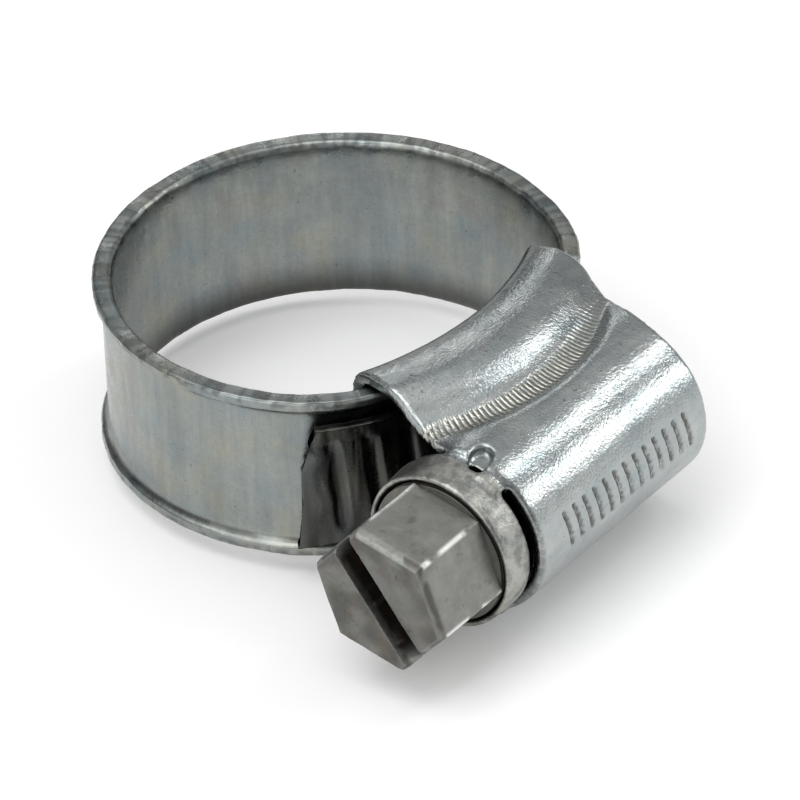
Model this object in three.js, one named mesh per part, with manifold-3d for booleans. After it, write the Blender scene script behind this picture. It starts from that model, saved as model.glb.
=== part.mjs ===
// Worm-drive hose clamp, 18 to 25 mm size, in millimetres.
// +Z runs along the hose. The housing stands at -Y and its screw lies along X, with the head at -X.
// "t" is a place along the screw (+X) and "r" is a distance out from the hose axis towards the housing (-Y).
import * as THREE from 'three';
import { mergeVertices } from 'three/addons/utils/BufferGeometryUtils.js';
import Module from 'manifold-3d';

const wasm = await Module();
wasm.setup();

// ---- driving dimensions -------------------------------------------------------------------------
const SHEET = 0.7;               // thickness of the band and housing strip
const RING_RADIUS = 11.75;       // middle of the band strip, all round the hose
const BAND_HALF_WIDTH = 4.75;
const TAIL_HALF_WIDTH = 3.5;     // the free end is trimmed narrower, to pass between the band's lips
const LIP_START = 3.55;          // height where the rolled lips leave the flat of the band
const LIP_FLARE = 0.42;          // how far a lip leans outwards at its edge
const LIP_SWELL = 0.14;          // a rolled lip is a little thicker than the sheet

const LINK_COUNT = 8;            // rigid links that stand for the flexible band between its two ends
const LINK_ANGLE = 30;           // degrees of ring between two hinges
const FIRST_HINGE = 60;          // degrees from the housing, round by the head side
const LINK_GAP = 0.3;

const AXIS_R = 15.35;            // distance of the screw axis from the hose axis
const PITCH = 2.0;
const WORM_RADIUS = 3.5;
const WORM_ROOT = 2.75;
const WORM_SPAN = [-8.2, 3.5];
const HEX_FLATS = 7.0;           // across flats
const HEX_TURN = -11;            // degrees that the hexagon is turned about the screw axis at rest
const HEX_SPAN = [-17.3, -12.1];
const HEX_CHAMFER_RADIUS = 3.72;  // the end of the head is turned down to this radius
const HEX_CHAMFER_LENGTH = 0.35;
const SLOT_WIDTH = 1.45;
const SLOT_DEPTH = 1.5;
const SLOT_TURN = -52;           // degrees of the driver slot about the screw axis at rest
const JOURNAL_RADIUS = 3.25;
const TIP_RADIUS = 2.4;
const SCREW_END = 4.6;

const TAIL_RADIUS = 15.35;       // the threaded end is bent to this radius, and slides along its own arc
const TAIL_CENTRE_R = -4.05;     // where that arc's centre lies, beyond the hose axis
const TAIL_END_ANGLE = 46.8;     // degrees of arc past the middle of the housing, on the head side
const TAIL_STRAIGHTEST_T = 6.0;  // the band starts to curve down to the ring from here
const TAIL_BLEND_ANGLE = 40;     // degrees of ring that this takes
const GROOVE_DEPTH = 0.25;
const GROOVE_WIDTH = 0.7;
const GROOVE_HALF_LENGTH = 2.6;

const ANCHOR_R = 9.95;           // middle of the anchored end under the screw, at t = 0
const ANCHOR_BEND = 16.3;        // its bending radius inside the housing
const ANCHOR_SPAN = [1.5, -7.0];

const FLANGE_SPAN = [-8.3, 6.5]; // the saddle that wraps the band
const BARREL_SPAN = [-9.7, 4.7]; // the tube round the worm
const HEAD_CUT_R = 9.3;          // the saddle's cut at the head side slants outwards through this r
const HEAD_CUT_SLOPE = 0.273;
const TIP_CUT_R = 10.8;          // and the cut at the tip side slants from this r out to the barrel
const TIP_CUT_SLOPE = 0.316;
const PLATE_R = 8.9;             // middle of the plate under the band, at t = 0
const PLATE_BEND = 17;
const FLANGE_HALF_HEIGHT = 5.35;
const RIDGE = { t: -1.2, r: 12.8, bend: 15.5 };   // the outer shoulder of the saddle's top
const VALLEY = { t: -1.8, r: 15.2, bend: 12.75 }; // the crease between saddle and barrel
const VALLEY_HALF_HEIGHT = 4.1;
const BARREL_RADIUS = 4.35;      // middle of the barrel's sheet
const LOOP_SPAN = [-12.0, -10.2];
const LOOP_RADII = [3.6, 4.35];
const STRAP_RADII = [3.7, 4.45];
const STRAP_ANGLES = [54, 74];   // the loop hangs on the barrel over these degrees, above and below
const END_LIP_LENGTH = 0.7;
const END_LIP_RADII = [3.0, 4.2];
const END_LIP_ANGLE = 108;

const ZINC = { color: 0xaab0b2, metalness: 0.9, roughness: 0.35 };
const BAND_ZINC = { color: 0x9da4a6, metalness: 0.85, roughness: 0.4 };
const SCREW_STEEL = { color: 0x8d8f8e, metalness: 0.85, roughness: 0.45 };

const radians = (degrees) => degrees * Math.PI / 180;
const smoothstep = (u) => {
  const v = Math.min(Math.max(u, 0), 1);
  return v * v * (3 - 2 * v);
};

// ---- mesh helpers -------------------------------------------------------------------------------

// A closed skin from a grid of point rings; the first and last ring are capped with fans.
function skinRings(rings) {
  const perRing = rings[0].length;
  const positions = rings.flat().flatMap((p) => [p.x, p.y, p.z]);
  const indices = [];
  for (let i = 0; i + 1 < rings.length; i += 1) {
    for (let j = 0; j < perRing; j += 1) {
      const k = (j + 1) % perRing;
      const a = i * perRing + j;
      const b = i * perRing + k;
      const c = (i + 1) * perRing + j;
      const d = (i + 1) * perRing + k;
      indices.push(a, b, d, a, d, c);
    }
  }
  [[0, true], [rings.length - 1, false]].forEach(([ring, first]) => {
    const outline = rings[ring];
    const centre = outline.reduce((sum, p) => sum.add(p), new THREE.Vector3()).divideScalar(perRing);
    const middle = positions.length / 3;
    positions.push(centre.x, centre.y, centre.z);
    for (let j = 0; j < perRing; j += 1) {
      const a = ring * perRing + j;
      const b = ring * perRing + ((j + 1) % perRing);
      indices.push(...(first ? [middle, b, a] : [middle, a, b]));
    }
  });
  return orient(makeGeometry(positions, indices));
}

// A closed tube wall: an outer and an inner grid of rings, joined at both ends.
function skinWall(outer, inner) {
  const perRing = outer[0].length;
  const count = outer.length;
  const positions = [...outer.flat(), ...inner.flat()].flatMap((p) => [p.x, p.y, p.z]);
  const indices = [];
  const at = (layer, i, j) => (layer * count + i) * perRing + (j % perRing);
  const quad = (a, b, c, d) => indices.push(a, b, c, a, c, d);
  for (let j = 0; j < perRing; j += 1) {
    for (let i = 0; i + 1 < count; i += 1) {
      quad(at(0, i, j), at(0, i, j + 1), at(0, i + 1, j + 1), at(0, i + 1, j));
      quad(at(1, i + 1, j), at(1, i + 1, j + 1), at(1, i, j + 1), at(1, i, j));
    }
    quad(at(1, 0, j), at(1, 0, j + 1), at(0, 0, j + 1), at(0, 0, j));
    quad(at(0, count - 1, j), at(0, count - 1, j + 1), at(1, count - 1, j + 1), at(1, count - 1, j));
  }
  return orient(makeGeometry(positions, indices));
}

function makeGeometry(positions, indices) {
  const geometry = new THREE.BufferGeometry();
  geometry.setAttribute('position', new THREE.Float32BufferAttribute(positions, 3));
  geometry.setIndex(indices);
  return geometry;
}

// Turns every face round if the body is inside out.
function orient(geometry) {
  const place = geometry.getAttribute('position');
  const index = geometry.getIndex();
  const [a, b, c] = [new THREE.Vector3(), new THREE.Vector3(), new THREE.Vector3()];
  let volume = 0;
  for (let i = 0; i < index.count; i += 3) {
    a.fromBufferAttribute(place, index.getX(i));
    b.fromBufferAttribute(place, index.getX(i + 1));
    c.fromBufferAttribute(place, index.getX(i + 2));
    volume += a.dot(b.cross(c));
  }
  if (volume < 0) {
    for (let i = 0; i < index.count; i += 3) {
      const swap = index.getX(i + 1);
      index.setX(i + 1, index.getX(i + 2));
      index.setX(i + 2, swap);
    }
  }
  return geometry;
}

function toSolid(source) {
  const geometry = source.clone();
  geometry.deleteAttribute('normal');
  geometry.deleteAttribute('uv');
  const merged = mergeVertices(geometry, 1e-5);
  return new wasm.Manifold(new wasm.Mesh({
    numProp: 3,
    vertProperties: new Float32Array(merged.getAttribute('position').array),
    triVerts: new Uint32Array(merged.getIndex().array),
  }));
}

function toGeometry(solid) {
  const mesh = solid.getMesh();
  const geometry = makeGeometry(Array.from(mesh.vertProperties), Array.from(mesh.triVerts));
  geometry.computeVertexNormals();
  return geometry;
}

// A point at an angle round the screw axis: 0 points away from the hose, 90 points up.
function roundScrew(t, radius, degrees) {
  const r = AXIS_R + radius * Math.cos(radians(degrees));
  return new THREE.Vector3(t, -r, radius * Math.sin(radians(degrees)));
}

// A curved bar round the screw axis, between two angles.
function sectorSolid(span, radii, angles, steps) {
  const rings = [];
  for (let i = 0; i <= steps; i += 1) {
    const angle = angles[0] + (angles[1] - angles[0]) * i / steps;
    rings.push([
      roundScrew(span[0], radii[0], angle),
      roundScrew(span[1], radii[0], angle),
      roundScrew(span[1], radii[1], angle),
      roundScrew(span[0], radii[1], angle),
    ]);
  }
  return toSolid(skinRings(rings));
}

// A turned body on the screw axis, from a list of [t, radius] corners.
function turnedSolid(corners, sides) {
  const profile = corners.map(([t, radius]) => new THREE.Vector2(radius, t));
  const lathe = new THREE.LatheGeometry(profile, sides);
  lathe.rotateZ(-Math.PI / 2);
  lathe.translate(0, -AXIS_R, 0);
  return toSolid(lathe);
}

// ---- the band's path ----------------------------------------------------------------------------
// A station is a point on the middle of the strip with the direction that faces away from the hose.

function station(t, r, outT, outR) {
  return { at: new THREE.Vector3(t, -r, 0), out: new THREE.Vector3(outT, -outR, 0).normalize() };
}

function anchorStation(t) {
  return station(t, ANCHOR_R - t * t / (2 * ANCHOR_BEND), t / ANCHOR_BEND, 1);
}

// The ring runs from the end of the anchored stretch round to the start of the tail's arc.
const ANCHOR_END = anchorStation(ANCHOR_SPAN[1]).at;
const ANCHOR_END_ANGLE = Math.atan2(-ANCHOR_END.x, -ANCHOR_END.y) * 180 / Math.PI;
const ANCHOR_DROP = RING_RADIUS - Math.hypot(ANCHOR_END.x, ANCHOR_END.y);
const ANCHOR_LEAN = radians(ANCHOR_END_ANGLE) - Math.atan(-ANCHOR_SPAN[1] / ANCHOR_BEND);
const ANCHOR_SLOPE = Math.tan(ANCHOR_LEAN) * (RING_RADIUS - ANCHOR_DROP) * radians(1);
const ANCHOR_BLEND_ANGLE = 2 * ANCHOR_DROP / ANCHOR_SLOPE;

const TAIL_START_R = TAIL_CENTRE_R + Math.sqrt(TAIL_RADIUS ** 2 - TAIL_STRAIGHTEST_T ** 2);
const TAIL_START_ANGLE = Math.atan2(TAIL_STRAIGHTEST_T, TAIL_START_R) * 180 / Math.PI;
const TAIL_RISE = Math.hypot(TAIL_STRAIGHTEST_T, TAIL_START_R) - RING_RADIUS;
const TAIL_LEAN = radians(TAIL_START_ANGLE) - Math.asin(TAIL_STRAIGHTEST_T / TAIL_RADIUS);
const TAIL_SLOPE = Math.tan(TAIL_LEAN) * (RING_RADIUS + TAIL_RISE) * radians(TAIL_BLEND_ANGLE);

// Radius of the middle of the strip, at an angle from the housing round by the head side.
function ringRadius(angle) {
  const fromAnchor = Math.min(Math.max((angle - ANCHOR_END_ANGLE) / ANCHOR_BLEND_ANGLE, 0), 1);
  const fromTail = Math.min(Math.max((360 - TAIL_START_ANGLE - angle) / TAIL_BLEND_ANGLE, 0), 1);
  const drop = ANCHOR_DROP * (1 - fromAnchor) ** 2;
  const rise = (1 - fromTail) ** 2 * (TAIL_RISE + (TAIL_SLOPE + 2 * TAIL_RISE) * fromTail);
  return RING_RADIUS - drop + rise;
}

function ringStation(angle) {
  const point = (a) => {
    const radius = ringRadius(a);
    return new THREE.Vector2(-radius * Math.sin(radians(a)), radius * Math.cos(radians(a)));
  };
  const here = point(angle);
  const along = point(angle + 0.05).sub(point(angle - 0.05)).normalize();
  return fixOut(station(here.x, here.y, -along.y, along.x));
}

// Makes a station's outward direction point away from the hose axis.
function fixOut(place) {
  if (place.out.dot(place.at) < 0) {
    place.out.negate();
  }
  return place;
}

function tailStation(angle) {
  const sine = Math.sin(radians(angle));
  const cosine = Math.cos(radians(angle));
  return station(TAIL_RADIUS * sine, TAIL_CENTRE_R + TAIL_RADIUS * cosine, sine, cosine);
}

// ---- the band's section -------------------------------------------------------------------------

// Outline of the strip as [z, out] pairs, with a lip rolled outwards along each edge.
function stripOutline(halfWidth, lipAmount) {
  const heights = [-1, -0.93, -0.84, -0.75, 0, 0.75, 0.84, 0.93, 1].map((u) => u * halfWidth);
  const lip = (z) => lipAmount * smoothstep((Math.abs(z) - LIP_START) / (BAND_HALF_WIDTH - LIP_START));
  const outside = heights.map((z) => [z, SHEET / 2 + LIP_FLARE * lip(z)]);
  const inside = heights.map((z) => [z, -SHEET / 2 + (LIP_FLARE - LIP_SWELL * 2) * lip(z)]);
  return [...outside, ...inside.reverse()];
}

const fullOutline = () => stripOutline(BAND_HALF_WIDTH, 1);

// Sweeps an outline along stations; outlineAt gives the outline for each station's number.
function sweepSolid(stations, outlineAt) {
  const rings = stations.map(({ at, out }, number) => outlineAt(number).map(([z, offset]) => (
    at.clone().addScaledVector(out, offset).setZ(z)
  )));
  return toSolid(skinRings(rings));
}

function ringStretch(from, to) {
  const steps = Math.max(2, Math.round(Math.abs(to - from) / 5));
  return Array.from({ length: steps + 1 }, (_, i) => ringStation(from + (to - from) * i / steps));
}

function hingeAngle(number) {
  return FIRST_HINGE + LINK_ANGLE * number;
}

const HALF_GAP_ANGLE = (LINK_GAP / 2) / RING_RADIUS * 180 / Math.PI;

// ---- band pieces --------------------------------------------------------------------------------

function makeAnchoredEnd() {
  const steps = 8;
  const inside = Array.from({ length: steps }, (_, i) => (
    anchorStation(ANCHOR_SPAN[0] + (ANCHOR_SPAN[1] - ANCHOR_SPAN[0]) * i / steps)
  ));
  const outside = ringStretch(ANCHOR_END_ANGLE, FIRST_HINGE - HALF_GAP_ANGLE);
  return sweepSolid([...inside, ...outside], fullOutline);
}

function makeLink(number) {
  const start = hingeAngle(number) + HALF_GAP_ANGLE;
  const end = hingeAngle(number + 1) - HALF_GAP_ANGLE;
  return sweepSolid(ringStretch(start, end), fullOutline);
}

// The threaded end: full width where it meets the ring, then trimmed narrower under the screw.
function makeTail() {
  const start = hingeAngle(LINK_COUNT) + HALF_GAP_ANGLE;
  const bend = ringStretch(start, 360 - TAIL_START_ANGLE);
  const first = Math.asin(TAIL_STRAIGHTEST_T / TAIL_RADIUS) * 180 / Math.PI;
  const steps = 26;
  const arc = Array.from({ length: steps }, (_, i) => (
    tailStation(first - (first + TAIL_END_ANGLE) * (i + 1) / steps)
  ));
  const strip = sweepSolid([...bend, ...arc], (number) => {
    const narrowing = smoothstep((number - bend.length + 2) / 2);
    const halfWidth = BAND_HALF_WIDTH + (TAIL_HALF_WIDTH - BAND_HALF_WIDTH) * narrowing;
    return stripOutline(halfWidth, 1 - narrowing);
  });
  return cutGrooves(strip);
}

// Slanted grooves that the worm has pressed into the tail, one pitch apart along its arc.
function cutGrooves(solid) {
  const step = PITCH / TAIL_RADIUS * 180 / Math.PI;
  const helix = Math.atan(PITCH / (2 * Math.PI * WORM_RADIUS));
  let result = solid;
  for (let angle = -TAIL_END_ANGLE + step * 0.75; angle < 18; angle += step) {
    const { at, out } = tailStation(angle);
    const bar = new THREE.BoxGeometry(GROOVE_WIDTH, GROOVE_DEPTH * 2, GROOVE_HALF_LENGTH * 2);
    bar.rotateY(helix);
    bar.translate(0, -SHEET / 2, 0);
    bar.rotateZ(Math.atan2(out.x, -out.y));
    bar.translate(at.x, at.y, 0);
    result = result.subtract(toSolid(bar));
  }
  return result;
}

// ---- screw --------------------------------------------------------------------------------------

// The worm's thread, as rings whose radius follows a right-hand helix.
function makeWorm() {
  const sides = 24;
  const perPitch = 8;
  const steps = Math.round((WORM_SPAN[1] - WORM_SPAN[0]) / PITCH * perPitch);
  const rings = [];
  for (let i = 0; i <= steps; i += 1) {
    const t = WORM_SPAN[0] + (WORM_SPAN[1] - WORM_SPAN[0]) * i / steps;
    const fade = smoothstep(Math.min(t - WORM_SPAN[0], WORM_SPAN[1] - t) / (PITCH / 2));
    rings.push(Array.from({ length: sides }, (_, j) => {
      const turn = 360 * j / sides;
      const phase = (t / PITCH + turn / 360) % 1;
      const crest = 1 - Math.abs((((phase + 1) % 1) * 2) - 1);
      const height = Math.min(crest * 1.6, 1) * fade;
      return roundScrew(t, WORM_ROOT + (WORM_RADIUS - WORM_ROOT) * height, turn);
    }));
  }
  return toSolid(skinRings(rings));
}

function makeHex() {
  const cornerRadius = HEX_FLATS / Math.sqrt(3);
  const hexagon = new THREE.Shape(Array.from({ length: 6 }, (_, k) => {
    const angle = radians(HEX_TURN + 60 * k);
    return new THREE.Vector2(cornerRadius * Math.cos(angle), cornerRadius * Math.sin(angle));
  }));
  const prism = new THREE.ExtrudeGeometry(hexagon, { depth: HEX_SPAN[1] - HEX_SPAN[0], bevelEnabled: false });
  // The shape's x points away from the hose and its y points up; the prism's depth runs along +X.
  prism.applyMatrix4(new THREE.Matrix4().makeBasis(
    new THREE.Vector3(0, -1, 0),
    new THREE.Vector3(0, 0, 1),
    new THREE.Vector3(-1, 0, 0),
  ));
  prism.translate(HEX_SPAN[1], -AXIS_R, 0);
  const chamfer = turnedSolid([
    [HEX_SPAN[0], 0],
    [HEX_SPAN[0], HEX_CHAMFER_RADIUS],
    [HEX_SPAN[0] + HEX_CHAMFER_LENGTH, cornerRadius + 0.2],
    [HEX_SPAN[1], cornerRadius + 0.2],
    [HEX_SPAN[1], 0],
  ], 48);
  const slot = new THREE.BoxGeometry(SLOT_DEPTH * 2, SLOT_WIDTH, HEX_FLATS * 2);
  slot.rotateX(-radians(90 + SLOT_TURN));
  slot.translate(HEX_SPAN[0], -AXIS_R, 0);
  return toSolid(prism).intersect(chamfer).subtract(toSolid(slot));
}

function makeScrew() {
  const spindle = turnedSolid([
    [HEX_SPAN[1] - 0.5, 0],
    [HEX_SPAN[1] - 0.5, JOURNAL_RADIUS],
    [LOOP_SPAN[1], JOURNAL_RADIUS],
    [LOOP_SPAN[1], TIP_RADIUS],
    [SCREW_END, TIP_RADIUS],
    [SCREW_END, 0],
  ], 32);
  return makeHex().add(spindle).add(makeWorm());
}

// ---- housing ------------------------------------------------------------------------------------

// The distance out of a line that is arched along the screw, such as the saddle's shoulder.
function archedR(line, t) {
  return line.r - (t - line.t) ** 2 / (2 * line.bend);
}

// Middle of the housing's sheet at one place along the screw, as [z, r] corners of its upper half.
function housingCorners(t) {
  const plate = PLATE_R - t * t / (2 * PLATE_BEND);
  const ridge = archedR(RIDGE, t);
  const valley = archedR(VALLEY, t);
  const corners = [
    [0, plate],
    [2.2, plate],
    [4.2, plate],
    [FLANGE_HALF_HEIGHT - 0.3, plate + 0.35],
    [FLANGE_HALF_HEIGHT, plate + 1.1],
    [FLANGE_HALF_HEIGHT, ridge - 1.0],
    [FLANGE_HALF_HEIGHT - 0.3, ridge - 0.1],
    [FLANGE_HALF_HEIGHT - 0.8, ridge + 0.8],
    [VALLEY_HALF_HEIGHT, valley],
  ];
  const arcStart = Math.acos((valley + 0.9 - AXIS_R) / BARREL_RADIUS);
  const steps = 7;
  for (let i = 0; i <= steps; i += 1) {
    const angle = arcStart * (1 - i / steps);
    corners.push([BARREL_RADIUS * Math.sin(angle), AXIS_R + BARREL_RADIUS * Math.cos(angle)]);
  }
  return corners;
}

// Where the sheet starts and stops along the screw, at a distance out from the hose.
function headCut(r) {
  return Math.max(BARREL_SPAN[0], FLANGE_SPAN[0] - HEAD_CUT_SLOPE * (r - HEAD_CUT_R));
}

function tipCut(r) {
  const slanted = FLANGE_SPAN[1] - TIP_CUT_SLOPE * (r - TIP_CUT_R);
  return Math.min(FLANGE_SPAN[1], Math.max(BARREL_SPAN[1], slanted));
}

// One corner at a share of the way from its own start to its own end.
function cornerPoint(index, share) {
  let t = 0;
  for (let pass = 0; pass < 6; pass += 1) {
    const r = housingCorners(t)[index][1];
    t = headCut(r) + (tipCut(r) - headCut(r)) * share;
  }
  const [z, r] = housingCorners(t)[index];
  return new THREE.Vector3(t, -r, z);
}

// Both faces of the sheet round the whole section.
function housingSection(share) {
  const upper = housingCorners(0).map((_, index) => cornerPoint(index, share));
  const lower = upper.slice(1, -1).reverse().map((p) => new THREE.Vector3(p.x, p.y, -p.z));
  const curve = new THREE.CatmullRomCurve3([...upper, ...lower], true, 'centripetal');
  const screwWay = new THREE.Vector3(1, 0, 0);
  const count = 60;
  const faces = { outer: [], inner: [] };
  for (let i = 0; i < count; i += 1) {
    const point = curve.getPoint(i / count);
    const along = curve.getTangent(i / count);
    const side = screwWay.clone().cross(along).normalize();
    faces.outer.push(point.clone().addScaledVector(side, SHEET / 2));
    faces.inner.push(point.clone().addScaledVector(side, -SHEET / 2));
  }
  return faces;
}

function makeHousing() {
  const steps = 14;
  const sections = Array.from({ length: steps + 1 }, (_, i) => housingSection(i / steps));
  const wall = toSolid(skinWall(sections.map((s) => s.outer), sections.map((s) => s.inner)));
  const loop = sectorSolid(LOOP_SPAN, LOOP_RADII, [0, 180], 18)
    .add(sectorSolid(LOOP_SPAN, LOOP_RADII, [180, 360], 18));
  const strapSpan = [LOOP_SPAN[1] - 0.3, BARREL_SPAN[0] + 0.3];
  const strap = sectorSolid(strapSpan, STRAP_RADII, STRAP_ANGLES, 4);
  const lowerStrap = sectorSolid(strapSpan, STRAP_RADII, STRAP_ANGLES.map((angle) => -angle), 4);
  const lipSpan = [BARREL_SPAN[1] - END_LIP_LENGTH, BARREL_SPAN[1]];
  const endLip = sectorSolid(lipSpan, END_LIP_RADII, [-END_LIP_ANGLE, END_LIP_ANGLE], 22);
  return wall.add(endLip).add(strap).add(lowerStrap).add(loop);
}

// ---- assembly -----------------------------------------------------------------------------------

function addPart(group, name, solid, look) {
  const mesh = new THREE.Mesh(toGeometry(solid), new THREE.MeshStandardMaterial(look));
  mesh.name = name;
  group.add(mesh);
}

const clamp = new THREE.Group();
addPart(clamp, 'housing', makeHousing(), ZINC);
addPart(clamp, 'worm_screw', makeScrew(), SCREW_STEEL);
addPart(clamp, 'band_anchored_end', makeAnchoredEnd(), BAND_ZINC);
for (let number = 0; number < LINK_COUNT; number += 1) {
  addPart(clamp, `band_link_${number + 1}`, makeLink(number), BAND_ZINC);
}
addPart(clamp, 'band_threaded_tail', makeTail(), BAND_ZINC);

export default clamp;
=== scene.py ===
# The looks of the worm-drive hose clamp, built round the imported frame. Lengths are in millimetres
# until a mesh is finished; a finished mesh is scaled to metres.
import math

import bmesh
import bpy
from mathutils import Matrix, Vector, noise


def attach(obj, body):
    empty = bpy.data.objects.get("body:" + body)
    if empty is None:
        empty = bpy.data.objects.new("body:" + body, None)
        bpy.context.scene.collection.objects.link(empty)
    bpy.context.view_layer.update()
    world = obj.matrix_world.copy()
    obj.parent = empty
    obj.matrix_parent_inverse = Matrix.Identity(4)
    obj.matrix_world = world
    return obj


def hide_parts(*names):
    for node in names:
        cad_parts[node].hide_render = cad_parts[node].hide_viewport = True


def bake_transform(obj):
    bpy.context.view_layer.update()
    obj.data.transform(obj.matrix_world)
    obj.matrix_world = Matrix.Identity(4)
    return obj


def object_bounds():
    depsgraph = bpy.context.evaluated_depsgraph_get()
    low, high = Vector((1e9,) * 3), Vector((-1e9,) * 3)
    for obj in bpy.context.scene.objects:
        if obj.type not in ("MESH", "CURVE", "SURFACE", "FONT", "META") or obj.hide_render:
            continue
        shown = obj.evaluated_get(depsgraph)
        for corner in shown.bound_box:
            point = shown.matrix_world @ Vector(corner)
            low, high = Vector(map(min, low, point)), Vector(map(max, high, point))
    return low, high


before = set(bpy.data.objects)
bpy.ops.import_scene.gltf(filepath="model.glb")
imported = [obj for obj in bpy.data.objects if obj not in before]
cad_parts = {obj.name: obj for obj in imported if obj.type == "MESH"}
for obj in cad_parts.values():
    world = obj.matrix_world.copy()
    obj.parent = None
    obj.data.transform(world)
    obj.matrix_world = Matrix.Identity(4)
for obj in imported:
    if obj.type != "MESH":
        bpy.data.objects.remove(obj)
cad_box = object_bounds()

MM = 0.001

# Directions: t runs along the screw and is x, r runs out from the hose axis and is -y, and z is up.
# Angles of the band run round the hose from the middle of the housing, by the screw head's side.

# ---- sizes that repeat the CAD part's -----------------------------------------------------------
SHEET = 0.7                 # thickness of the band and the housing
RING_RADIUS = 11.75         # middle of the band strip, all round the hose
TAIL_HALF_WIDTH = 3.5
FIRST_HINGE = 60.0          # degrees
LINK_ANGLE = 30.0           # degrees between two hinges
HINGES = 9
AXIS_R = 15.35              # distance of the screw axis from the hose axis
PITCH = 2.0
WORM_RADIUS = 3.5
WORM_ROOT = 2.75
WORM_SPAN = (-8.2, 3.5)
HEX_FLATS = 7.0             # across flats
HEX_TURN = -11.0            # degrees that the hexagon is turned about the screw axis at rest
HEX_SPAN = (-17.3, -12.1)
SLOT_WIDTH = 1.45
SLOT_DEPTH = 1.5
SLOT_TURN = -52.0           # degrees of the driver slot about the screw axis at rest
JOURNAL_RADIUS = 3.25
TIP_RADIUS = 2.4
SCREW_END = 4.6
TAIL_RADIUS = 15.35         # the threaded end is bent to this radius
TAIL_CENTRE_R = -4.05       # where that arc's centre lies, beyond the hose axis
TAIL_END_ANGLE = 46.8       # degrees of arc past the middle of the housing
TAIL_STRAIGHTEST_T = 6.0    # the band starts to curve down to the ring from here
TAIL_BLEND_ANGLE = 40.0     # degrees of ring that this takes
ANCHOR_R = 9.95             # middle of the anchored end under the screw, at t = 0
ANCHOR_BEND = 16.3          # its bending radius inside the housing
ANCHOR_SPAN = (1.5, -7.0)
FLANGE_SPAN = (-8.3, 6.5)   # the saddle that wraps the band
BARREL_SPAN = (-9.7, 4.7)   # the tube round the worm
HEAD_CUT_R = 9.3            # the saddle's cut at the head side slants outwards through this r
HEAD_CUT_SLOPE = 0.273
TIP_CUT_R = 10.8            # and the cut at the tip side slants from this r out to the barrel
TIP_CUT_SLOPE = 0.316
PLATE_R = 8.9               # middle of the plate under the band, at t = 0
PLATE_BEND = 17.0
FLANGE_HALF_HEIGHT = 5.35
# A line along the saddle: the t where it is furthest out, how far out that is, and its bend's radius.
RIDGE = (-1.2, 12.8, 15.5)
VALLEY = (-1.8, 15.2, 12.75)
VALLEY_HALF_HEIGHT = 4.1
BARREL_RADIUS = 4.35        # middle of the barrel's sheet
LOOP_SPAN = (-12.1, -10.15)
LOOP_RADII = (3.62, 4.33)
LOOP_RIM_RADIUS = 4.04      # the loop's bore opens out to this at the head
STRAP_RADII = (3.7, 4.6)
STRAP_ANGLES = (54.0, 72.0)     # the loop hangs on the barrel over these degrees, above and below
STRAP_OVERLAPS = (0.4, 0.6)     # how far a strap runs into the loop and into the barrel
END_LIP_LENGTH = 0.7
END_LIP_RADII = (3.0, 4.2)
END_LIP_ANGLE = 108

# ---- small features that only the looks have ----------------------------------------------------
HOLE_T = -9.38
HOLE_ANGLE = 80
DASH_START = -7.6
DASH_PITCH = 0.86
DASH_COUNT = 13
DASH_ANGLES = (-10, 17)
DASH_SLANT = 0.018          # how far a dash leans along the screw for each degree round it
DASH_DEPTH = 0.11
MARK_SPACING = 0.29         # of the fine tool marks in the crease
HOUSING_VOXEL = 0.1
HEAD_VOXEL = 0.075


def smoothstep(u):
    v = min(max(u, 0.0), 1.0)
    return v * v * (3 - 2 * v)


def mix(a, b, share):
    return a + (b - a) * share


# ---- camera, lights and floor -------------------------------------------------------------------
VIEW_ROLL = -0.04496        # radians, as are the next two
VIEW_YAW = 0.00795
VIEW_PITCH = 0.61126
VIEW_BACK = 383.3           # horizontal distance of the camera from the hose axis
VIEW_HEIGHT = 264.7
# How far the screw axis is turned from the camera's own right-hand direction.
HOUSING_TURN = math.radians(51.5)
LENS = 405.0
SENSOR_WIDTH = 36.0
LIGHT_AIM = Vector((0, -8, 0))
FLOOR_REACH = 3000.0

# Name, azimuth and elevation in degrees, distance, size across and up, and watts.
SOFTBOXES = (
    ("strip_high", -24, 45, 300, (26, 100), 0.075),
    ("strip_low", -44, 23, 300, (62, 84), 0.10),
    ("strip_back", 42, 27, 300, (30, 26), 0.012),
    ("overhead", 150, 72, 320, (240, 240), 0.26),
    ("left_fill", 180, 30, 420, (300, 200), 0.26),
)

# How bright the plain sky is at a height: 0 is the horizon and 1 straight up.
SKY_ENDS = ((0.0, 0.62), (1.0, 0.75))
SKY_BETWEEN = ((0.15, 0.5), (0.35, 0.33), (0.62, 0.42), (0.8, 0.7))
SKY_BLUENESS = 1.01
SKY_LEAST = 0.02

# Azimuth, elevation and radius in degrees, and how much brighter it is than the plain sky.
SKY_PATCHES = (
    (80, 25, 38, -0.22),
    (-60, 12, 30, 0.25),
    (180, 35, 50, 0.35),
    (110, 75, 40, 0.5),
)


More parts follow.
